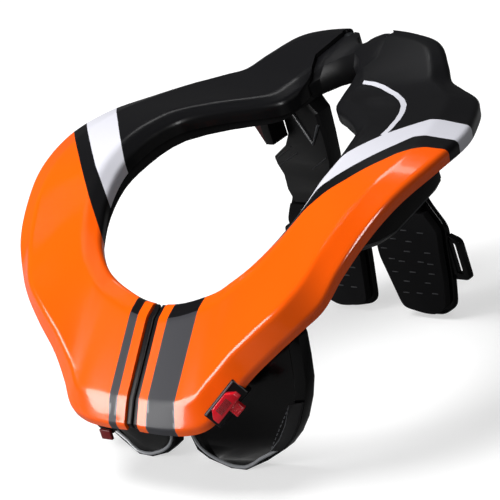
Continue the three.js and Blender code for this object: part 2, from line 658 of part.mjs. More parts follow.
// The slider of a latch, with chamfered ends and a thumb knob on its lower side.
function latchSlider(frame) {
  const near = LATCH_PLATE + FIT_GAP;
  const [half, low, high] = [SLIDER_LENGTH / 2, -SLIDER_HEIGHT * 0.65, SLIDER_HEIGHT * 0.35];
  const outline = [
    [-half, low], [half, low], [half, high - SLIDER_END], [half - SLIDER_END, high],
    [SLIDER_END - half, high], [-half, high - SLIDER_END],
  ];
  const knob = rectangle(0, KNOB_SIZE, low - KNOB_DROP, low + 1);
  const body = solid(latchPlate(frame, outline, near, near + SLIDER_DEPTH));
  return body.add(solid(latchPlate(frame, knob, near + 1, near + SLIDER_DEPTH - 1)));
}

// The adjuster block beside a strut.
function adjusterBlock() {
  const outline = rectangle(
    placeX(ADJUSTER.innerX), placeX(ADJUSTER.outerX), placeZ(ADJUSTER.floor), placeZ(ADJUSTER.roof),
  );
  return plateAlongY(flatShape(outline), placeY(ADJUSTER.frontY), placeY(ADJUSTER.rearY));
}

// The release tab on the adjuster's outer side, slanted towards its foot.
function releaseTab() {
  const innerX = placeX(ADJUSTER.outerX) + FIT_GAP;
  const [low, high] = [placeZ(ADJUSTER.floor), placeZ(ADJUSTER.roof)];
  const outline = [
    [innerX, low + FIT_GAP], [innerX + 1, low + FIT_GAP], [innerX + TAB_WIDTH, low + TAB_SLANT],
    [innerX + TAB_WIDTH, high], [innerX, high],
  ];
  return plateAlongY(flatShape(outline), placeY(ADJUSTER.frontY) + TAB_INSET, placeY(ADJUSTER.rearY) - TAB_INSET);
}

// The catch under the front lip, with chamfered lower corners.
function chestCatch() {
  const [left, right] = [placeX(CATCH.innerX), placeX(CATCH.outerX)];
  const [low, high] = [placeZ(CATCH.floor), placeZ(CATCH.roof)];
  const outline = [
    [left + CATCH_CHAMFER, low], [right - CATCH_CHAMFER, low], [right, low + CATCH_CHAMFER],
    [right, high], [left, high], [left, low + CATCH_CHAMFER],
  ];
  return plateAlongY(flatShape(outline), placeY(CATCH.frontY), placeY(CATCH.rearY));
}

// The pull on the front of the catch.
function catchPull() {
  const outline = rectangle(placeX(PULL.innerX), placeX(PULL.outerX), placeZ(PULL.floor), placeZ(PULL.roof));
  const rear = placeY(CATCH.frontY) - FIT_GAP;
  return plateAlongY(flatShape(outline), rear - PULL_WALL, rear);
}

// Finishes
const FINISHES = {
  shell: { color: 0xff6a00, roughness: 0.18, metalness: 0 },
  black: { color: 0x141416, roughness: 0.45, metalness: 0 },
  foam: { color: 0x1b1b1d, roughness: 0.85, metalness: 0 },
  gloss: { color: 0x0a0a0b, roughness: 0.15, metalness: 0 },
  rubber: { color: 0x222224, roughness: 0.8, metalness: 0 },
  red: { color: 0xc41226, roughness: 0.25, metalness: 0 },
  steel: { color: 0x55575a, roughness: 0.35, metalness: 0.9 },
};
const materials = Object.fromEntries(Object.entries(FINISHES).map(([name, finish]) => [
  name,
  new THREE.MeshStandardMaterial(finish),
]));

// A named piece of the brace. On the right side it is mirrored across the mid plane.
function piece(name, body, finish, side = 1) {
  const geometry = isSolid(body) ? geometryOf(body) : body.clone();
  if (side < 0) {
    geometry.scale(-1, 1, 1);
    if (geometry.index) {
      geometry.setIndex(Array.from(geometry.index.array).reverse());
    } else {
      geometry.setAttribute('position', reversedCorners(geometry.attributes.position));
    }
  }
  const mesh = new THREE.Mesh(geometry, materials[finish]);
  mesh.name = name;
  return mesh;
}

// Corners of loose triangles in reverse order, which turns every face over.
function reversedCorners(position) {
  const flipped = new THREE.Float32BufferAttribute(position.count * 3, 3);
  for (let corner = 0; corner < position.count; corner += 1) {
    const from = position.count - 1 - corner;
    flipped.setXYZ(corner, position.getX(from), position.getY(from), position.getZ(from));
  }
  return flipped;
}

const clearRing = halfRing(FIT_GAP);
const wholeRing = halfRing(0);
const keepOut = [frontStrip(), bridgePrism(FIT_GAP), pinPost(PIN_RADIUS + FIT_GAP, true)];
const frame = latchFrame();

const HALF_PIECES = {
  shell: [cut(hollowShell(0), ...keepOut), 'shell'],
  core: [largest(cut(loft(stations.map(coreSection)), hollowShell(FIT_GAP), ...keepOut)), 'foam'],
  front_moulding: [frontMoulding(), 'black'],
  chest_paddle: [cut(chestPaddle(), clearRing), 'gloss'],
  strap_tab: [strapTab(), 'rubber'],
  shoulder_pad: [largest(cut(shoulderBlock(), clearRing)), 'gloss'],
  strut: [cut(strutBlock(), clearRing), 'black'],
  wing: [wingPlate(), 'black'],
  wing_pad: [wingPad(), 'foam'],
  strap_loop: [strapLoop(), 'black'],
  adjuster: [cut(adjusterBlock(), clearRing), 'black'],
  release_tab: [cut(releaseTab(), clearRing), 'red'],
  hinge_pin: [pinPost(PIN_RADIUS, false).intersect(wholeRing), 'steel'],
};

const brace = new THREE.Group();
brace.name = 'neck_brace';
for (const [sideName, side] of [['left', 1], ['right', -1]]) {
  for (const [name, [body, finish]] of Object.entries(HALF_PIECES)) {
    brace.add(piece(`${name}_${sideName}`, body, finish, side));
  }
}

const leftBridge = wholeRing.intersect(solid(bridgePrism(0))).subtract(pinPost(PIN_RADIUS + FIT_GAP, true));
const bridge = leftBridge.add(leftBridge.mirror([1, 0, 0])).subtract(solid(rearNotch()));
brace.add(piece('rear_bridge', bridge, 'black'));
brace.add(piece('latch_bracket', cut(latchBracket(frame), clearRing), 'black'));
brace.add(piece('latch_slider', latchSlider(frame), 'red'));
brace.add(piece('chest_catch', cut(chestCatch(), clearRing), 'black', -1));
brace.add(piece('catch_pull', catchPull(), 'red', -1));

export default brace;
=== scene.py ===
"""A motocross neck brace, dressed for its pictures: glossy ring halves, pads, latch and finishes.

Lengths in the dataclass fields are millimetres in the brace's frame: +X the wearer's left, +Y the
wearer's back, +Z up. The meshes are built in metres.
"""

import json
import logging
import math
from dataclasses import dataclass
from enum import Enum

import bpy
import numpy as np
from mathutils import Matrix, Vector
from mathutils.bvhtree import BVHTree

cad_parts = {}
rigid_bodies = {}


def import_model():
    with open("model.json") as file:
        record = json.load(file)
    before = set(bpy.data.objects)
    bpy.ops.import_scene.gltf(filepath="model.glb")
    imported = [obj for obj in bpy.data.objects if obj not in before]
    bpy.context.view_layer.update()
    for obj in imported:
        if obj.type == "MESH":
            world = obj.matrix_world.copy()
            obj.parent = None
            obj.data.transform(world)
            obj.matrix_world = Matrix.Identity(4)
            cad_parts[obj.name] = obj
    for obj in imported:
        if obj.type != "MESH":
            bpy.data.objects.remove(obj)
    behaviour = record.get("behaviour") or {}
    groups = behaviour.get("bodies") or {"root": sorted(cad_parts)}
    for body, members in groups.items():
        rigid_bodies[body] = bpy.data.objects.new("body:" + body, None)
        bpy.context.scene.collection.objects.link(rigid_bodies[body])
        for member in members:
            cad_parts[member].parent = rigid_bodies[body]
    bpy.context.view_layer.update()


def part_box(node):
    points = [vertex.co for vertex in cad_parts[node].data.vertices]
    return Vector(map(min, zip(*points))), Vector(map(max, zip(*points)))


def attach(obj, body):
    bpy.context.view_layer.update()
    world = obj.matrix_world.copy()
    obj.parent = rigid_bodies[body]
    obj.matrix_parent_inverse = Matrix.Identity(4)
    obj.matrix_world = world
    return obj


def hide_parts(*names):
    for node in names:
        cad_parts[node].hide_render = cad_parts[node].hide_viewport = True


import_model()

MM = 0.001
log = logging.getLogger("neck_brace")
WALL_SMOOTH_ANGLE = 34.0
SHELL_SMOOTH_ANGLE = 38.0
Point = tuple[float, float, float]
Flat = tuple[float, float]
FlatLine = tuple[Flat, ...]


class Side(Enum):
    """The two mirrored halves of the brace."""

    LEFT = 1
    RIGHT = -1

    @property
    def label(self) -> str:
        """The side's word in the node names."""
        return self.name.lower()

    @property
    def body(self) -> str:
        """The moving body that the side's pieces ride on."""
        return f"{self.label}_half"


def deselect_all() -> None:
    """Leave edit mode and deselect every object."""
    if bpy.context.object and bpy.context.object.mode != "OBJECT":
        bpy.ops.object.mode_set(mode="OBJECT")
    bpy.ops.object.select_all(action="DESELECT")


def activate(piece: bpy.types.Object) -> None:
    """Make one piece the only selected and the active one."""
    deselect_all()
    piece.select_set(True)
    bpy.context.view_layer.objects.active = piece


def apply_modifiers(piece: bpy.types.Object) -> None:
    """Apply all of a piece's modifiers in their order."""
    activate(piece)
    for modifier in list(piece.modifiers):
        bpy.ops.object.modifier_apply(modifier=modifier.name)


def soften(piece: bpy.types.Object, width: float, segments: int = 3, angle: float = 28.0) -> None:
    """Round the edges of a piece and shade it smoothly.

    Args:
        piece: the mesh object to finish.
        width: width of the rounding in millimetres.
        segments: faces across each rounded edge.
        angle: edges that turn less than this, in degrees, stay as they are.
    """
    if width > 0:
        bevel = piece.modifiers.new("Edges", "BEVEL")
        bevel.width = width * MM
        bevel.segments = segments
        bevel.limit_method = "ANGLE"
        bevel.angle_limit = math.radians(angle)
        bevel.use_clamp_overlap = True
        bevel.miter_outer = "MITER_ARC"
        apply_modifiers(piece)
    activate(piece)
    bpy.ops.object.shade_smooth_by_angle(angle=math.radians(WALL_SMOOTH_ANGLE))


def new_piece(name: str, corners: list[Point], faces: list[tuple[int, ...]]) -> bpy.types.Object:
    """Make a mesh object from corners in millimetres and faces.

    Args:
        name: the piece's name.
        corners: places of the vertices in millimetres.
        faces: vertex numbers of each face.

    Returns:
        The new object, at the origin.
    """
    mesh = bpy.data.meshes.new(name)
    mesh.from_pydata([tuple(c * MM for c in corner) for corner in corners], [], faces)
    mesh.update()
    piece = bpy.data.objects.new(name, mesh)
    bpy.context.scene.collection.objects.link(piece)
    return piece


def recalculate(piece: bpy.types.Object) -> None:
    """Merge the doubles of a closed piece and turn its faces outwards."""
    activate(piece)
    bpy.ops.object.mode_set(mode="EDIT")
    bpy.ops.mesh.select_all(action="SELECT")
    bpy.ops.mesh.remove_doubles(threshold=1e-6)
    bpy.ops.mesh.normals_make_consistent(inside=False)
    bpy.ops.object.mode_set(mode="OBJECT")


def copy_of_node(node: str, name: str, flat_angle: float = 0.6) -> bpy.types.Object:
    """Copy a node's mesh as clean polygons that can be finished.

    Args:
        node: the node to copy.
        name: name of the new piece.
        flat_angle: faces within this angle, in degrees, become one face.

    Returns:
        The copy, merged by distance.
    """
    piece = bpy.data.objects.new(name, bpy.data.objects[node].data.copy())
    bpy.context.scene.collection.objects.link(piece)
    piece.data.materials.clear()
    activate(piece)
    bpy.ops.object.mode_set(mode="EDIT")
    bpy.ops.mesh.select_all(action="SELECT")
    bpy.ops.mesh.remove_doubles(threshold=2e-6)
    bpy.ops.mesh.dissolve_limited(angle_limit=math.radians(flat_angle))
    bpy.ops.object.mode_set(mode="OBJECT")
    return piece


def dress(piece: bpy.types.Object, finish: "Finish", body: str) -> bpy.types.Object:
    """Give a piece its finish, body and material slot.

    Args:
        piece: the finished mesh object.
        finish: the finish that covers it.
        body: the moving body that it rides on.

    Returns:
        The same piece.
    """
    piece.data.materials.clear()
    piece.data.materials.append(finish.material())
    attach(piece, body)
    log.info("%s: %d faces, on %s", piece.name, len(piece.data.polygons), body)
    return piece


def refined(
    node: str, finish: "Finish", body: str, width: float, angle: float = 28.0,
) -> bpy.types.Object:
    """Stand a softened copy in a node's place.

    Args:
        node: the node that the copy replaces.
        finish: the copy's finish.
        body: the body that the node rides on.
        width: rounding of the edges in millimetres.
        angle: edges that turn less, in degrees, stay as they are.

    Returns:
        The new piece.
    """
    piece = copy_of_node(node, f"{node}_form")
    soften(piece, width, angle=angle)
    dress(piece, finish, body)
    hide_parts(node)
    return piece


def linear(srgb: Point) -> tuple[float, float, float, float]:
    """A colour from its usual 0 to 255 steps, as the shader takes it."""
    steps = [c / 255 for c in srgb]
    return (*[c / 12.92 if c <= 0.04045 else ((c + 0.055) / 1.055) ** 2.4 for c in steps], 1.0)


class NodeGraph:
    """A material's node tree, with short calls for the nodes that the finishes use."""

    def __init__(self, name: str) -> None:
        """Start a material with one Principled shader."""
        self.material = bpy.data.materials.new(name)
        self.material.use_nodes = True
        self.tree = self.material.node_tree
        self.shader = self.tree.nodes["Principled BSDF"]
        self.place = self.tree.nodes.new("ShaderNodeTexCoord").outputs["Object"]

    def node(self, kind: str, **settings: object) -> bpy.types.Node:
        """Add a node and set its properties."""
        made = self.tree.nodes.new(kind)
        for key, value in settings.items():
            setattr(made, key, value)
        return made

    def feed(self, source: bpy.types.NodeSocket | float, socket: bpy.types.NodeSocket) -> None:
        """Link a socket, or set a number or colour on it."""
        if isinstance(source, bpy.types.NodeSocket):
            self.tree.links.new(source, socket)
        else:
            socket.default_value = source

    def noise(self, scale: float, detail: float = 2.0, stretch: Point = (1, 1, 1)) -> bpy.types.NodeSocket:
        """A noise pattern on the object's own coordinates."""
        mapping = self.node("ShaderNodeMapping")
        mapping.inputs["Scale"].default_value = stretch
        self.feed(self.place, mapping.inputs["Vector"])
        made = self.node("ShaderNodeTexNoise")
        made.inputs["Scale"].default_value = scale
        made.inputs["Detail"].default_value = detail
        self.feed(mapping.outputs["Vector"], made.inputs["Vector"])
        return made.outputs["Fac"]

    def math(self, operation: str, first: object, second: object = 0.0) -> bpy.types.NodeSocket:
        """A Math node over two inputs."""
        made = self.node("ShaderNodeMath", operation=operation)
        self.feed(first, made.inputs[0])
        self.feed(second, made.inputs[1])
        return made.outputs[0]

    def between(self, value: object, low: float, high: float) -> bpy.types.NodeSocket:
        """1 where a value lies between two limits, else 0."""
        return self.math(
            "MULTIPLY", self.math("GREATER_THAN", value, low), self.math("LESS_THAN", value, high),
        )

    def spread(self, value: bpy.types.NodeSocket, low: float, high: float) -> bpy.types.NodeSocket:
        """A value from 0 to 1 spread between two others."""
        made = self.node("ShaderNodeMapRange")
        self.feed(value, made.inputs["Value"])
        made.inputs["To Min"].default_value = low
        made.inputs["To Max"].default_value = high
        return made.outputs["Result"]

    def blend(self, share: object, under: object, over: object) -> bpy.types.NodeSocket:
        """One colour over another by a share."""
        made = self.node("ShaderNodeMix", data_type="RGBA")
        self.feed(share, made.inputs["Factor"])
        self.feed(under, made.inputs[6])
        self.feed(over, made.inputs[7])
        return made.outputs[2]

    def attribute(self, name: str) -> bpy.types.NodeSocket:
        """A number that the mesh carries at each vertex."""
        return self.node("ShaderNodeAttribute", attribute_name=name).outputs["Fac"]

    def bump(self, height: bpy.types.NodeSocket, strength: float, distance: float) -> None:
        """Raise the surface by a height pattern, with the distance in millimetres."""
        made = self.node("ShaderNodeBump")
        made.inputs["Strength"].default_value = strength
        made.inputs["Distance"].default_value = distance * MM
        self.feed(height, made.inputs["Height"])
        self.feed(made.outputs["Normal"], self.shader.inputs["Normal"])


@dataclass(frozen=True)
class Finish:
    """A moulded plastic: its colour with a slight unevenness, its gloss and its grain."""

    name: str
    colour: Point
    roughness: float = 0.4
    unevenness: float = 0.06
    grain: float = 1400.0
    grain_height: float = 0.02
    coat: float = 0.0
    metallic: float = 0.0
    specular: float = 0.4

    def material(self) -> bpy.types.Material:
        """The finish's material, made once."""
        made = bpy.data.materials.get(self.name)
        return made if made else self.build()

    def build(self) -> bpy.types.Material:
        """Build the finish's nodes."""
        graph = NodeGraph(self.name)
        cloud = graph.noise(35.0, 3.0)
        base = linear(self.colour)
        dark = (*[c * (1 - self.unevenness) for c in base[:3]], 1.0)
        graph.feed(graph.blend(cloud, dark, base), graph.shader.inputs["Base Color"])
        low, high = self.roughness * 0.85, min(1.0, self.roughness * 1.2)
        graph.feed(graph.spread(cloud, low, high), graph.shader.inputs["Roughness"])
        graph.shader.inputs["Coat Weight"].default_value = self.coat
        graph.shader.inputs["Coat Roughness"].default_value = 0.04
        graph.shader.inputs["Metallic"].default_value = self.metallic
        graph.shader.inputs["Specular IOR Level"].default_value = self.specular
        graph.bump(graph.noise(self.grain, 2.0), 0.35, self.grain_height)
        return graph.material


@dataclass(frozen=True)
class RingFinish(Finish):
    """The ring's paint: the lacquer's colour, black and white bands, dark front bands and a pinstripe."""

    white: Point = (206, 206, 214)
    black: Point = (16, 16, 18)
    band: Point = (58, 58, 62)
    wide_band: Flat = (12.2, 34.8)
    thin_band: Flat = (-19.5, -12.6)
    stripe: float = 1.7
    black_rim: float = 9.0
    gloss: Flat = (0.15, 0.2)
    satin_rise: float = 0.16

    def build(self) -> bpy.types.Material:
        """Build the paint: the mesh carries how far each vertex lies from the band edges."""
        graph = NodeGraph(self.name)
        cloud = graph.noise(18.0, 2.0)
        hue = linear(self.colour)
        deep = (hue[0] * 0.97, hue[1] * 0.9, hue[2], 1.0)
        colour = graph.blend(cloud, deep, hue)
        split = graph.node("ShaderNodeSeparateXYZ")
        graph.feed(graph.place, split.inputs[0])
        across = split.outputs[0]
        wide = graph.between(across, self.wide_band[0] * MM, self.wide_band[1] * MM)
        thin = graph.between(across, self.thin_band[0] * MM, self.thin_band[1] * MM)
        front = graph.math("LESS_THAN", split.outputs[1], 0.0)
        bands = graph.math("MULTIPLY", graph.math("MAXIMUM", wide, thin), front)
        at_rim = graph.math("LESS_THAN", graph.attribute("from_rim"), self.black_rim)
        band_colour = graph.blend(at_rim, linear(self.band), linear(self.black))
        colour = graph.blend(bands, colour, band_colour)
        behind_orange = graph.math("GREATER_THAN", graph.attribute("past_orange"), 0.0)
        colour = graph.blend(behind_orange, colour, linear(self.black))
        white = graph.math(
            "MULTIPLY",
            graph.math("GREATER_THAN", graph.attribute("past_black"), 0.0),
            graph.math("LESS_THAN", graph.attribute("past_white"), 0.0),
        )
        line = graph.math("LESS_THAN", graph.attribute("from_stripe"), self.stripe)
        white = graph.math("MAXIMUM", white, line)
        colour = graph.blend(white, colour, linear(self.white))
        graph.feed(colour, graph.shader.inputs["Base Color"])
        gloss = graph.spread(cloud, *self.gloss)
        satin = graph.math("MULTIPLY", graph.math("MAXIMUM", behind_orange, bands), self.satin_rise)
        graph.feed(graph.math("ADD", gloss, satin), graph.shader.inputs["Roughness"])
        graph.shader.inputs["Coat Weight"].default_value = self.coat
        graph.shader.inputs["Coat Roughness"].default_value = 0.05
        graph.shader.inputs["Specular IOR Level"].default_value = self.specular
        graph.bump(graph.noise(self.grain, 1.0), 0.3, self.grain_height)
        return graph.material


ORANGE: Point = (255, 95, 0)
RING_PAINT = RingFinish("ring_paint", ORANGE, grain=260.0, grain_height=0.012, coat=0.4, specular=0.3)
BAND_PAINT = RingFinish("band_paint", ORANGE, grain=1500.0, grain_height=0.012, specular=0.2)
REAR_PAINT = RingFinish("rear_paint", ORANGE, grain=1500.0, grain_height=0.012, coat=0.08, specular=0.18)
SATIN_BLACK = Finish("satin_black", (17, 17, 19), roughness=0.34, specular=0.22)
GLOSS_BLACK = Finish(
    "gloss_black", (9, 9, 10), roughness=0.2, coat=0.08, specular=0.16, grain=220.0, grain_height=0.012,
)
MATTE_BLACK = Finish(
    "matte_black", (24, 24, 26), roughness=0.62, specular=0.3, grain=2200.0, grain_height=0.05,
)
FOAM_BLACK = Finish("foam_black", (15, 15, 17), roughness=0.85, specular=0.15, grain=900.0, grain_height=0.12)
EDGE_GREY = Finish("edge_grey", (104, 106, 110), roughness=0.28, grain_height=0.01)
# A light grey that paints the highlight on the chest paddle's glossy rolled rim.
RIM_HIGHLIGHT = Finish("bright_rim", (150, 152, 156), roughness=0.22, grain_height=0.01, coat=0.3)
SOFT_GREY = Finish("soft_grey", (52, 53, 56), roughness=0.4)
LATCH_RED = Finish("latch_red", (236, 24, 44), roughness=0.16, coat=0.6, grain=300.0, grain_height=0.01)
DARK_RED = Finish("dark_red", (110, 10, 12), roughness=0.3)
PIN_STEEL = Finish("pin_steel", (88, 90, 94), roughness=0.3, metallic=0.9)


def curve_through(points: np.ndarray, parameter: float) -> np.ndarray:
    """A place on the smooth curve through points whose spacing sets its pace.

    Args:
        points: the points, one row each.
        parameter: 0 at the first point and 1 at the last.

    Returns:
        The place.
    """
    last = len(points) - 1
    at = parameter * last
    index = min(int(at), last - 1)
    share = at - index
    first, second = points[index], points[index + 1]
    before = points[index - 1] if index > 0 else 2 * first - second
    after = points[index + 2] if index + 2 <= last else 2 * second - first
    ends = ((before, first), (first, second), (second, after))
    gaps = [max(np.linalg.norm(b - a) ** 0.5, 1e-4) for a, b in ends]
    early, middle, late = (gaps[1] if gap < 1e-3 else gap for gap in gaps)
    slope_in = (first - before) / early - (second - before) / (early + middle) + (second - first) / middle
    slope_out = (second - first) / middle - (after - first) / (middle + late) + (after - second) / late
    slope_in, slope_out = slope_in * middle, slope_out * middle
    rest = -3 * first + 3 * second - 2 * slope_in - slope_out
    cube = 2 * first - 2 * second + slope_in + slope_out
    return first + slope_in * share + rest * share**2 + cube * share**3


def signed_distance(place: np.ndarray, line: FlatLine) -> float:
    """How far a flat place lies from a line of points, positive on its left.

    Args:
        place: the place, of which x and y count.
        line: the points of the line; its two ends run on straight.

    Returns:
        The distance in the line's own unit.
    """
    best, signed = 1e9, 0.0
    for index in range(len(line) - 1):
        start, end = np.array(line[index]), np.array(line[index + 1])
        way = end - start
        share = float((place[:2] - start) @ way / (way @ way))
        low = -50.0 if index == 0 else 0.0
        high = 50.0 if index == len(line) - 2 else 1.0
        foot = start + way * min(high, max(low, share))
        gap = float(np.linalg.norm(place[:2] - foot))
        if gap < best:
            best = gap
            off = place[:2] - foot
            signed = math.copysign(gap, way[0] * off[1] - way[1] * off[0])
    return signed


@dataclass
class RingHalf:
    """One painted half of the ring: a smooth hollow shell from the front split to the hinge.

    The rows hold rim, crease and lip from front to back, as shares of half the width, the length and the
    height. The heights are the inner wall, the skirt and the bevel's rise at the front, middle and back.
    The outlines of seam and paint are seen from above, on the left side.
    """

    side: Side
    half_width: float = 150.0
    length: float = 272.0
    height: float = 164.0
    wall: float = 2.4
    bevel_width: float = 8.0
    stations: int = 300
    split_reach: float = 5.2
    seam: FlatLine = ((17.9, 150), (17.9, 133), (25.9, 109.9), (18.4, 94.9), (18.4, 70))
    pin: Flat = (17.55, 133.0)
    pin_bore: float = 3.1
    front_limit: float = -70.0
    stripe_start: Flat = (30.0, 21.5)
    cutter_reach: Flat = (60.0, 200.0)
    white_rear: FlatLine = (
        (133, 51), (127.2, 50), (118.5, 47.3), (111.8, 36.4), (103.5, 23.4), (101.0, 17.8), (94, 4.9),
        (88, -6),
    )
    white_front: FlatLine = (
        (137.7, 30), (131.4, 28.6), (124.6, 25.1), (119.5, 14.6), (108.5, -3.5), (95.8, -21.5), (85, -33),
    )
    orange_end: FlatLine = (
        (141, 18.6), (138.9, 18), (135.8, 15.5), (126.9, 6.5), (122, -1), (107.6, -20.5), (92.1, -36.5),
        (80, -50),
    )
    pinstripe: FlatLine = (
        (30, 88), (40, 87.5), (48.6, 85.4), (64.9, 78.3), (76, 71), (84.6, 63.1), (92, 53), (97.7, 42.8),
        (102, 31), (103.5, 22),
    )
    rows: tuple[tuple[Point, Point, Point], ...] = (
        ((0.000, 0.176, 0.579), (0.000, 0.029, 0.341), (0.000, 0.002, 0.268)),
        ((0.110, 0.182, 0.585), (0.147, 0.028, 0.341), (0.160, 0.006, 0.262)),
        ((0.233, 0.197, 0.610), (0.267, 0.031, 0.351), (0.293, 0.015, 0.268)),
        ((0.303, 0.208, 0.631), (0.327, 0.040, 0.366), (0.373, 0.029, 0.290)),
        ((0.353, 0.219, 0.655), (0.387, 0.068, 0.421), (0.440, 0.062, 0.348)),
        ((0.413, 0.243, 0.686), (0.480, 0.099, 0.500), (0.527, 0.099, 0.427)),
        ((0.463, 0.272, 0.720), (0.600, 0.132, 0.579), (0.647, 0.136, 0.512)),
        ((0.503, 0.309, 0.756), (0.693, 0.165, 0.640), (0.747, 0.173, 0.579)),
        ((0.537, 0.349, 0.796), (0.753, 0.213, 0.701), (0.817, 0.210, 0.631)),
        ((0.559, 0.393, 0.835), (0.800, 0.272, 0.780), (0.873, 0.257, 0.720)),
        ((0.567, 0.445, 0.875), (0.840, 0.338, 0.848), (0.920, 0.324, 0.799)),
        ((0.565, 0.496, 0.896), (0.873, 0.419, 0.896), (0.967, 0.412, 0.866)),
        ((0.543, 0.559, 0.915), (0.887, 0.522, 0.924), (1.000, 0.537, 0.902)),
        ((0.497, 0.619, 0.921), (0.853, 0.625, 0.933), (0.973, 0.651, 0.905)),
        ((0.353, 0.684, 0.915), (0.787, 0.713, 0.927), (0.880, 0.746, 0.896)),
        ((0.207, 0.735, 0.902), (0.707, 0.787, 0.921), (0.787, 0.818, 0.890)),
        ((0.163, 0.757, 0.899), (0.653, 0.812, 0.921), (0.747, 0.835, 0.890)),
        ((0.147, 0.779, 0.902), (0.587, 0.838, 0.924), (0.647, 0.860, 0.896)),
        ((0.137, 0.798, 0.907), (0.513, 0.860, 0.930), (0.560, 0.882, 0.909)),
        ((0.127, 0.816, 0.910), (0.447, 0.904, 0.951), (0.480, 0.928, 0.942)),
        ((0.120, 0.831, 0.915), (0.360, 0.952, 0.979), (0.380, 0.978, 0.976)),
        ((0.113, 0.842, 0.918), (0.240, 0.971, 0.994), (0.253, 0.993, 0.994)),
        ((0.100, 0.857, 0.921), (0.093, 0.974, 1.000), (0.093, 1.000, 1.000)),
        ((0.000, 0.915, 0.927), (0.000, 0.967, 0.997), (0.000, 0.993, 0.997)),
    )
    heights: tuple[Point, ...] = ((4, 3, 2.4), (6, 5, 4.5), (7, 8, 3))

    def __post_init__(self) -> None:
        """Take the right half's own band edges."""
        if self.side is Side.RIGHT:
            self.white_rear = ((150, 51), (115.2, 19.3), (92.4, -2.1), (84, -11))
            self.white_front = ((150, 24), (125, 2), (96, -23.7), (80, -36))
            self.orange_end = ((152, 14), (116.1, -17.5), (88.6, -42), (74, -54))

    def place(self, share: Point) -> np.ndarray:
        """A place in millimetres from its shares of the overall sizes."""
        return np.array([share[0] * self.half_width, (share[1] - 0.5) * self.length, share[2] * self.height])

    def tracks(self) -> list[np.ndarray]:
        """The rim, crease and lip tracks, carried one row past both ends."""
        mirror = np.array([-1, 1, 1])
        made = []
        for edge in range(3):
            points = [self.place(row[edge]) for row in self.rows]
            made.append(np.array([points[1] * mirror, *points, points[-2] * mirror]))
        return made

    def edge_height(self, which: int, share: float) -> float:
        """The wall, skirt or rise at a share of the way to the back."""
        front, middle, back = (row[which] for row in self.heights)
        if share < 0.5:
            return front + (middle - front) * share / 0.5
        return middle + (back - middle) * min(1.0, (share - 0.5) * 4)

    def profile(self, rim: np.ndarray, crease: np.ndarray, lip: np.ndarray, share: float) -> list[np.ndarray]:
        """The rounded outer line of one station, from the wall's foot to the skirt's foot.

        Args:
            rim: the station's rim in millimetres.
            crease: its crease.
            lip: its lip.
            share: how far it is from front to back, 0 to 1.

        Returns:
            The line's points in space.
        """
        out = np.array([lip[0] - rim[0], lip[1] - rim[1], 0.0])
        out /= np.linalg.norm(out)
        across = np.array([-out[1], out[0], 0.0])
        wall, skirt, rise = (self.edge_height(which, share) for which in range(3))

        def flat(point: np.ndarray) -> np.ndarray:
            """A point as outwards, up and sideways from the rim."""
            gap = point - rim
            return np.array([gap @ out, gap[2], gap @ across])

        start, ridge, edge = flat(rim), flat(crease), flat(lip)
        slope = (ridge - start)[:2] / np.linalg.norm((ridge - start)[:2])
        reach = np.linalg.norm(ridge[:2])
        bevel = np.array([*(slope * self.bevel_width + np.array([-slope[1], slope[0]]) * rise),
                          ridge[2] * self.bevel_width / reach])
        head = np.array([0, -wall, 0.0])
        foot = np.array([edge[0] - 1, edge[1] - skirt, edge[2]])
        line = [head, start, bevel, ridge, edge, foot]
        # The rounding of each corner in millimetres, the faces round it, and those along each stretch.
        soft = (0.0, 1.0, 2.6, 2.0, 1.0, 0.0)
        steps = (0, 4, 7, 7, 4, 0)
        runs = (3, 5, 26, 8, 4)
        made = [line[0]]
        for index in range(1, len(line) - 1):
            before, here, after = line[index - 1], line[index], line[index + 1]
            size_in = min(soft[index], np.linalg.norm(here - before) * 0.45)
            size_out = min(soft[index], np.linalg.norm(after - here) * 0.45)
            enter = here + (before - here) / np.linalg.norm(before - here) * size_in
            leave = here + (after - here) / np.linalg.norm(after - here) * size_out
            made += [made[-1] + (enter - made[-1]) * k / runs[index - 1] for k in range(1, runs[index - 1])]
            for step in range(steps[index] + 1):
                turn = step / steps[index]
                made.append(enter * (1 - turn) ** 2 + here * 2 * turn * (1 - turn) + leave * turn**2)
        made += [made[-1] + (line[-1] - made[-1]) * k / runs[-1] for k in range(1, runs[-1] + 1)]
        return [rim + out * p[0] + across * p[2] + np.array([0, 0, p[1]]) for p in made]

    def surface(self) -> bpy.types.Object:
        """The open outer surface of the half."""
        tracks = self.tracks()
        spans = len(self.rows) + 1
        corners: list[Point] = []
        count = 0
        for step in range(self.stations + 1):
            share = step / self.stations
            at = (1 + share * (len(self.rows) - 1)) / spans
            rim, crease, lip = (curve_through(track, at) for track in tracks)
            line = self.profile(rim, crease, lip, share)
            count = len(line)
            corners += [(p[0] * self.side.value, p[1], p[2]) for p in line]
        faces = []
        for step in range(self.stations):
            for index in range(count - 1):
                a = step * count + index
                quad = (a, a + 1, a + count + 1, a + count)
                faces.append(quad if self.side is Side.RIGHT else quad[::-1])
        return new_piece(f"ring_shell_{self.side.label}", corners, faces)

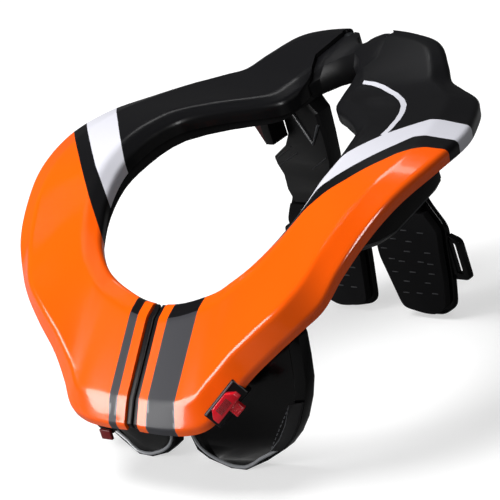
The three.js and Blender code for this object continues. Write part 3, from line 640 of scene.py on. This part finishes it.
    def mark(self, piece: bpy.types.Object) -> None:
        """Store on each vertex how far it lies from the paint's edges, in millimetres."""
        sizes = {name: [] for name in ("past_orange", "past_black", "past_white", "from_stripe", "from_rim")}
        before_front, off_stripe = -9.0, 99.0
        from_x, from_y = self.stripe_start
        rim_samples = np.linspace(0.04, 0.96, 160)
        rim_track = self.tracks()[0]
        rim = np.array([curve_through(rim_track, at) for at in rim_samples])
        for vertex in piece.data.vertices:
            spot = np.array(vertex.co) / MM * np.array([self.side.value, 1, 1])
            front = spot[1] < self.front_limit or spot[0] < self.split_reach and spot[1] < 0
            sizes["past_orange"].append(before_front if front else -signed_distance(spot, self.orange_end))
            sizes["past_black"].append(before_front if front else -signed_distance(spot, self.white_front))
            sizes["past_white"].append(-signed_distance(spot, self.white_rear))
            near = abs(signed_distance(spot, self.pinstripe)) if self.side is Side.LEFT else off_stripe
            sizes["from_stripe"].append(near if spot[1] > from_y and spot[0] > from_x else off_stripe)
            sizes["from_rim"].append(float(np.min(np.linalg.norm(rim[:, :2] - spot[:2], axis=1))))
        for name, values in sizes.items():
            layer = piece.data.attributes.new(name, "FLOAT", "POINT")
            layer.data.foreach_set("value", values)

    def satin_parts(self, piece: bpy.types.Object, margin: float = 0.8, inset: float = 0.2) -> None:
        """Give the rear of the half and the front bands their satin lacquers.

        Args:
            piece: the marked half, with the gloss paint in its first slot.
            margin: how far the satin reaches before the orange's end, in millimetres.
            inset: how far it stays inside a front band's edges, in millimetres.
        """
        piece.data.materials.append(REAR_PAINT.material())
        past = piece.data.attributes["past_orange"].data
        for polygon in piece.data.polygons:
            behind = all(past[vertex].value > -margin for vertex in polygon.vertices)
            polygon.material_index = 1 if behind else 0
        piece.data.materials.append(BAND_PAINT.material())
        for polygon in piece.data.polygons:
            spots = [piece.data.vertices[vertex].co / MM for vertex in polygon.vertices]
            for low, high in (RING_PAINT.wide_band, RING_PAINT.thin_band):
                if all(spot.y < 0 and low + inset < spot.x < high - inset for spot in spots):
                    polygon.material_index = 2

    def prism(self, outline: list[Flat], name: str) -> bpy.types.Object:
        """A tall prism over a flat outline, to cut with."""
        count = len(outline)
        corners = [(x * self.side.value, y, z) for z in self.cutter_reach for x, y in outline]
        faces = [tuple(range(count)), tuple(range(2 * count - 1, count - 1, -1))]
        faces += [(i, (i + 1) % count, (i + 1) % count + count, i + count) for i in range(count)]
        cutter = new_piece(name, corners, faces)
        recalculate(cutter)
        return cutter

    def cut_out(self, piece: bpy.types.Object, cutter: bpy.types.Object) -> None:
        """Take one cutter from the piece and delete the cutter."""
        tool = piece.modifiers.new("Cut", "BOOLEAN")
        tool.operation = "DIFFERENCE"
        tool.solver = "EXACT"
        tool.object = cutter
        apply_modifiers(piece)
        bpy.data.objects.remove(cutter)

    def build(self) -> bpy.types.Object:
        """Build, cut, paint and place the half."""
        piece = self.surface()
        activate(piece)
        bpy.ops.object.mode_set(mode="EDIT")
        bpy.ops.mesh.select_all(action="SELECT")
        bpy.ops.mesh.bisect(
            plane_co=(self.split_reach * MM * self.side.value, 0, 0), plane_no=(1, 0, 0),
            clear_inner=self.side is Side.LEFT, clear_outer=self.side is Side.RIGHT,
        )
        bpy.ops.object.mode_set(mode="OBJECT")
        wall = piece.modifiers.new("Wall", "SOLIDIFY")
        wall.thickness = self.wall * MM
        wall.offset = -1.0
        apply_modifiers(piece)
        past_middle = -5.0
        seam = [(past_middle, self.seam[0][1]), *self.seam, (past_middle, self.seam[-1][1])]
        self.cut_out(piece, self.prism(seam, "seam_cutter"))
        ring = [2 * math.pi * k / 40 for k in range(40)]
        x, y = self.pin
        bore = [(x + self.pin_bore * math.cos(a), y + self.pin_bore * math.sin(a)) for a in ring]
        self.cut_out(piece, self.prism(bore, "pin_cutter"))
        self.mark(piece)
        activate(piece)
        bpy.ops.object.shade_smooth_by_angle(angle=math.radians(SHELL_SMOOTH_ANGLE))
        dress(piece, RING_PAINT, self.side.body)
        self.satin_parts(piece)
        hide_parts(f"shell_{self.side.label}")
        return piece


@dataclass
class RearBridge:
    """The hinge bridge between the halves, with its two pins."""

    edge: float = 0.7

    def build(self) -> None:
        """Soften the bridge and finish the pins."""
        refined("rear_bridge", SATIN_BLACK, "bridge", self.edge, angle=40)
        for side in Side:
            refined(f"hinge_pin_{side.label}", PIN_STEEL, "bridge", 0.4)


def bead(
    name: str, line: list[Point], radius: float, finish: Finish, body: str,
) -> bpy.types.Object:
    """A thin round bead along a line of points.

    Args:
        name: the piece's name.
        line: the points in millimetres.
        radius: the bead's radius in millimetres.
        finish: its finish.
        body: the body that it rides on.

    Returns:
        The finished bead.
    """
    points = [Vector(point) for point in line]
    corners: list[Point] = []
    faces: list[tuple[int, ...]] = []
    sides = 10
    for index, point in enumerate(points):
        way = (points[min(index + 1, len(points) - 1)] - points[max(index - 1, 0)]).normalized()
        first = way.orthogonal().normalized() if index == 0 else (first - way * first.dot(way)).normalized()
        second = way.cross(first)
        for step in range(sides):
            angle = 2 * math.pi * step / sides
            corners.append(tuple(point + (first * math.cos(angle) + second * math.sin(angle)) * radius))
    for index in range(len(points) - 1):
        for step in range(sides):
            a, b = index * sides + step, index * sides + (step + 1) % sides
            faces.append((a, b, b + sides, a + sides))
    last = (len(points) - 1) * sides
    faces += [tuple(range(sides))[::-1], tuple(range(last, last + sides))]
    made = new_piece(name, corners, faces)
    recalculate(made)
    soften(made, 0)
    return dress(made, finish, body)


def laid(host: bpy.types.Object, line: list[Point], spacing: float = 2.0) -> list[Point]:
    """A smooth line through points, laid on a piece's surface.

    Args:
        host: the piece, which stands at the origin.
        line: the points in millimetres.
        spacing: the distance between the new points in millimetres.

    Returns:
        The points of the laid line in millimetres.
    """
    mesh = host.data
    corners = [vertex.co.copy() for vertex in mesh.vertices]
    tree = BVHTree.FromPolygons(corners, [tuple(polygon.vertices) for polygon in mesh.polygons])
    points = np.array(line, dtype=float)
    length = float(np.sum(np.linalg.norm(np.diff(points, axis=0), axis=1)))
    count = max(2, round(length / spacing))
    made = []
    for step in range(count + 1):
        spot = Vector(curve_through(points, step / count)) * MM
        nearest = tree.find_nearest(spot)[0] / MM
        if not made or (nearest - Vector(made[-1])).length > spacing / 3:
            made.append(tuple(nearest))
    return made


def joined(pieces: list[bpy.types.Object], name: str) -> bpy.types.Object:
    """Join small repeated pieces into one.

    Args:
        pieces: the pieces to join, all on one body.
        name: name of the joined piece.

    Returns:
        The first piece, which now holds them all.
    """
    deselect_all()
    for piece in pieces:
        piece.select_set(True)
    bpy.context.view_layer.objects.active = pieces[0]
    bpy.ops.object.join()
    pieces[0].name = name
    return pieces[0]


@dataclass
class HalfFittings:
    """The pieces under one half: paddle, tab, pads, strut, wing, loop and adjuster."""

    side: Side
    dash: Point = (5.0, 0.5, 0.7)
    dash_rounding: float = 0.18
    dash_rows: FlatLine = (
        (48.5, 59.6), (35.5, 60.5), (22.5, 61.5), (49.7, 46.1), (37.0, 53.0), (24.5, 54.0), (42.0, 39.4),
        (26.2, 38.8), (14.5, 47.0), (32.6, 31.8), (48.1, 31.7), (18.0, 31.0), (25.2, 25.0), (42.5, 25.1),
        (33.1, 17.4), (22.0, 17.0), (46.0, 18.0), (33.0, 46.0), (18.5, 40.0), (49.5, 38.5),
    )
    stitch_row: tuple[Point, Point] = ((67.5, -101.6, 13), (93.0, -98.6, 45))
    stitch_count: int = 11
    stitch_share: Flat = (0.2, 0.75)
    stitch_radius: float = 0.3
    strut_face: float = 4.6
    strut_v: FlatLine = ((34, 133.5), (24, 112.8), (15, 126))
    strut_folds: tuple[tuple[Flat, Flat], ...] = (
        ((44, 110), (60, 101)), ((40, 106), (58, 97)), ((16, 104), (30, 96)),
    )
    # Points along the paddle's lower rim, where a light grey bead paints the rim's highlight.
    paddle_rim: tuple[Point, ...] = (
        (9.5, -104.0, 33), (9.6, -104.6, 22), (10.6, -105.0, 15), (17.6, -105.0, 8), (33.5, -104.6, 2.2),
        (44.2, -104.2, 2.2), (58.6, -100.4, 8), (73.0, -98.0, 15.2), (81.0, -96.6, 23),
    )
    tab_line: tuple[Point, ...] = (
        (65.5, -100.8, 15), (75.0, -99.4, 23), (83.0, -98.4, 33), (91.0, -97.2, 45),
    )
    pad_rim: tuple[Point, ...] = (
        (126, -55, 124), (134, -47, 121.5), (138.5, -36, 120), (140.5, -23, 120), (141.5, -2, 124.4),
        (141.5, 14, 127.4), (139.4, 22, 130),
    )

    def node(self, name: str) -> str:
        """The node's name on this side."""
        return f"{name}_{self.side.label}"

    def rod(
        self, name: str, line: list[Point], radius: float, finish: Finish,
        host: bpy.types.Object | None = None,
    ) -> bpy.types.Object:
        """A bead along points that are given on the left side.

        Args:
            name: the bead's name without its side.
            line: the points in millimetres.
            radius: the bead's radius in millimetres.
            finish: its finish.
            host: the piece on whose surface the bead lies.

        Returns:
            The finished bead.
        """
        placed = [(x * self.side.value, y, z) for x, y, z in line]
        if host:
            placed = laid(host, placed)
        return bead(self.node(name), placed, radius, finish, self.side.body)

    def wing_dashes(self) -> None:
        """The short raised dashes on the wing's padded face."""
        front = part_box(self.node("wing_pad"))[0][1] / MM
        width, depth, height = self.dash
        made = []
        for x, z in self.dash_rows:
            deselect_all()
            middle = (x * self.side.value * MM, (front - depth / 4) * MM, z * MM)
            bpy.ops.mesh.primitive_cube_add(size=1, location=middle)
            bar = bpy.context.object
            bar.scale = (width * MM, depth * MM, height * MM)
            bpy.ops.object.transform_apply(location=True, rotation=True, scale=True)
            soften(bar, self.dash_rounding, 2)
            made.append(bar)
        dress(joined(made, self.node("wing_dashes")), SOFT_GREY, self.side.body)

    def tab_stitches(self) -> None:
        """The row of short stitches along the strap tab."""
        start, end = (Vector(point) for point in self.stitch_row)
        made = []
        for step in range(self.stitch_count):
            spots = [start.lerp(end, (step + share) / self.stitch_count) for share in self.stitch_share]
            ends = [(spot.x * self.side.value, spot.y, spot.z) for spot in spots]
            made.append(bead(f"stitch_{step}", ends, self.stitch_radius, EDGE_GREY, self.side.body))
        dress(joined(made, self.node("tab_stitches")), EDGE_GREY, self.side.body)

    def strut_marks(self, strut: bpy.types.Object) -> None:
        """The grey V outline on the strut's face and its fold lines.

        Args:
            strut: the dressed strut, on which the folds lie.
        """
        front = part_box(self.node("strut"))[0][1] / MM + self.strut_face
        outline = [(x, front - 0.2, z) for x, z in self.strut_v]
        self.rod("strut_outline", outline, 1.0, EDGE_GREY)
        for number, (start, end) in enumerate(self.strut_folds, 1):
            line = [(start[0], front - 0.6, start[1]), (end[0], front - 1.4, end[1])]
            self.rod(f"strut_fold_{number}", line, 0.5, SOFT_GREY, strut)

    def trim_lines(self, paddle: bpy.types.Object, tab: bpy.types.Object, pad: bpy.types.Object) -> None:
        """The paddle's light grey rim strip, a painted highlight on its rolled rim, the tab's seam line and
        the pad's beaded edge.

        Args:
            paddle: the dressed chest paddle.
            tab: the dressed strap tab.
            pad: the dressed shoulder pad.
        """
        # A light grey bead along the paddle's rim: a painted highlight.
        self.rod("paddle_strip", self.paddle_rim, 1.1, RIM_HIGHLIGHT, paddle)
        self.rod("tab_seam", self.tab_line, 0.35, EDGE_GREY, tab)
        self.rod("pad_edge", self.pad_rim, 0.7, SOFT_GREY, pad)

    def build(self) -> None:
        """Build and dress every piece of this side."""
        body = self.side.body
        refined(self.node("front_moulding"), SATIN_BLACK, body, 0.7)
        paddle = refined(self.node("chest_paddle"), GLOSS_BLACK, body, 1.0, angle=24)
        tab = refined(self.node("strap_tab"), MATTE_BLACK, body, 0.5)
        shoulder = refined(self.node("shoulder_pad"), GLOSS_BLACK, body, 1.2, angle=24)
        strut = refined(self.node("strut"), SATIN_BLACK, body, 0.8, angle=20)
        refined(self.node("wing"), GLOSS_BLACK, body, 1.1)
        pad = refined(self.node("wing_pad"), FOAM_BLACK, body, 1.8)
        refined(self.node("strap_loop"), GLOSS_BLACK, body, 0.9)
        refined(self.node("adjuster"), SATIN_BLACK, body, 0.9)
        refined(self.node("release_tab"), DARK_RED, body, 0.9)
        core = bpy.data.objects[self.node("core")]
        for index in range(len(core.data.materials)):
            core.data.materials[index] = FOAM_BLACK.material()
        self.wing_dashes()
        self.strut_marks(strut)
        self.trim_lines(paddle, tab, shoulder)
        self.tab_stitches()


@dataclass
class FrontLatch:
    """The red latch on the wearer's left and the catch on the right."""

    at: Point = (66.0, -119.136, 57.072)
    along: Point = (0.58904, 0.52472, 0.61458)
    out: Point = (0.51524, -0.82975, 0.2146)
    up: Point = (-0.62255, -0.19025, 0.75911)
    slider_face: float = 9.3
    knob_face: float = 8.3
    bracket_face: float = 3.0
    rib_count: int = 9
    rib_pitch: float = 1.1
    rib_ends: Flat = (-3.6, 0.8)
    rib_radius: float = 0.3
    stud_rows: int = 4
    stud_start: Flat = (1.1, -10.2)
    stud_pitch: Flat = (1.6, 1.5)
    stud_radius: float = 0.45
    # Half length, rise and radius of the light grey bead that paints the highlight on the bracket's upper
    # edge.
    lip_half: float = 13.0
    lip_up: float = 3.6
    lip_radius: float = 0.55

    def spot(self, along: float, up: float, out: float) -> Point:
        """A place in the latch's own directions, from its seat on the lip."""
        return tuple(
            Vector(self.at) + Vector(self.along) * along + Vector(self.up) * up + Vector(self.out) * out
        )

    def ribs(self) -> None:
        """The ribbed field in the middle of the slider's face."""
        made = []
        for step in range(self.rib_count):
            along = (step - (self.rib_count - 1) / 2) * self.rib_pitch
            line = [self.spot(along, up, self.slider_face) for up in self.rib_ends]
            made.append(bead(f"rib_{step}", line, self.rib_radius, DARK_RED, "latch"))
        dress(joined(made, "slider_ribs"), DARK_RED, "latch")

    def studs(self) -> None:
        """The small round studs on the thumb knob."""
        made = []
        radius = self.stud_radius * MM
        for row in range(self.stud_rows):
            for column in range(self.stud_rows):
                deselect_all()
                along = self.stud_start[0] + column * self.stud_pitch[0]
                up = self.stud_start[1] + row * self.stud_pitch[1]
                place = Vector(self.spot(along, up, self.knob_face)) * MM
                bpy.ops.mesh.primitive_uv_sphere_add(segments=10, ring_count=6, radius=radius, location=place)
                bpy.ops.object.transform_apply(location=True, rotation=True, scale=True)
                made.append(bpy.context.object)
        studs = joined(made, "knob_studs")
        soften(studs, 0)
        dress(studs, LATCH_RED, "latch")

    def build(self) -> None:
        """Soften and dress bracket, slider, catch and pull."""
        refined("latch_bracket", SATIN_BLACK, "left_half", 0.8)
        # A light grey bead along the bracket's upper edge: a painted highlight.
        stops = (-self.lip_half, 0.0, self.lip_half)
        lip = [self.spot(along, self.lip_up, self.bracket_face) for along in stops]
        bead("bracket_lip", lip, self.lip_radius, EDGE_GREY, "left_half")
        refined("latch_slider", LATCH_RED, "latch", 0.9, angle=24)
        self.ribs()
        self.studs()
        refined("chest_catch", SATIN_BLACK, "right_half", 0.9)
        refined("catch_pull", DARK_RED, "right_half", 0.5)


@dataclass
class Studio:
    """The pale floor, the soft lights and the camera at the photograph's angle.

    The floor and the world are darker to reflections than to the camera, as a studio's surroundings are.
    """

    right: Point = (0.7071, 0.6470, -0.2853)
    up: Point = (-0.0678, 0.4637, 0.8834)
    ahead: Point = (-0.7038, 0.6053, -0.3717)
    eye: Point = (1662.79, -1440.42, 969.84)
    lens: float = 288.0
    sensor: float = 36.0
    floor_glow: float = 0.55
    world_light: float = 0.22
    world_in_gloss: float = 0.06

    def camera(self) -> None:
        """Place the camera with its roll."""
        data = bpy.data.cameras.new("photo_camera")
        data.lens = self.lens
        data.sensor_width = self.sensor
        data.clip_end = 50.0
        camera = bpy.data.objects.new("photo_camera", data)
        bpy.context.scene.collection.objects.link(camera)
        right = Vector(self.right).normalized()
        ahead = (Vector(self.ahead) - right * Vector(self.ahead).dot(right)).normalized()
        up = right.cross(ahead)
        turn = Matrix((right, up, -ahead)).transposed().to_4x4()
        camera.matrix_world = Matrix.Translation(Vector(self.eye) * MM) @ turn
        bpy.context.scene.camera = camera

    def lamp(
        self, name: str, at: Point, aim: Point, size: Flat, power: float,
        mirrored: bool = True, lighting: bool = True,
    ) -> None:
        """A soft rectangular light.

        Args:
            name: the light's name.
            at: its place in metres.
            aim: the place that it points at.
            size: its width and height in metres.
            power: its power in watts.
            mirrored: whether glossy surfaces show it.
            lighting: whether matt surfaces are lit by it.
        """
        data = bpy.data.lights.new(name, "AREA")
        data.shape = "RECTANGLE"
        data.size, data.size_y = size
        data.energy = power
        lamp = bpy.data.objects.new(name, data)
        lamp.location = at
        lamp.visible_glossy = mirrored
        lamp.visible_diffuse = lighting
        lamp.rotation_euler = (Vector(aim) - Vector(at)).to_track_quat("-Z", "Y").to_euler()
        bpy.context.scene.collection.objects.link(lamp)

    def build(self) -> None:
        """Build floor, lights, world and camera."""
        deselect_all()
        bpy.ops.mesh.primitive_plane_add(size=14, location=(0, 0, 0))
        floor = bpy.context.object
        floor.name = "studio_floor"
        graph = NodeGraph("pale_floor")
        seen = graph.node("ShaderNodeLightPath").outputs["Is Camera Ray"]
        pale = graph.blend(graph.noise(3.0), (0.48, 0.48, 0.48, 1), (0.5, 0.5, 0.5, 1))
        graph.feed(graph.blend(seen, (0.16, 0.16, 0.16, 1), pale), graph.shader.inputs["Base Color"])
        graph.shader.inputs["Emission Color"].default_value = (1, 1, 1, 1)
        graph.feed(graph.math("MULTIPLY", seen, self.floor_glow), graph.shader.inputs["Emission Strength"])
        graph.shader.inputs["Roughness"].default_value = 0.9
        floor.data.materials.append(graph.material)
        world = bpy.data.worlds.new("studio")
        world.use_nodes = True
        tree = world.node_tree
        rays = tree.nodes.new("ShaderNodeLightPath")
        dimmed = tree.nodes.new("ShaderNodeMath")
        dimmed.operation = "MULTIPLY_ADD"
        dimmed.inputs[1].default_value = self.world_in_gloss - self.world_light
        dimmed.inputs[2].default_value = self.world_light
        tree.links.new(rays.outputs["Is Glossy Ray"], dimmed.inputs[0])
        tree.nodes["Background"].inputs["Color"].default_value = (1, 1, 1, 1)
        tree.links.new(dimmed.outputs[0], tree.nodes["Background"].inputs["Strength"])
        bpy.context.scene.world = world
        bpy.context.scene.view_settings.view_transform = "Standard"
        self.lamp("overhead", (-0.6, -0.15, 1.55), (0, 0, 0), (0.8, 0.8), 30, mirrored=False)
        self.lamp("front_strip", (-1.0, -1.2, 0.55), (0, 0, 0.08), (0.6, 1.0), 20)
        self.lamp("rear_patch", (-0.57, 0.61, 1.33), (0.1, 0, 0.14), (0.3, 0.3), 1.6, lighting=False)
        self.lamp("side_strip", (1.35, -0.7, 1.15), (0, 0, 0.12), (0.4, 1.2), 24, lighting=False)
        self.camera()


def main() -> None:
    """Build the brace's visible pieces in their order."""
    logging.basicConfig(level=logging.INFO, format="%(message)s")
    Studio().build()
    for side in Side:
        RingHalf(side).build()
        HalfFittings(side).build()
    RearBridge().build()
    FrontLatch().build()


if __name__ == "__main__":
    main()
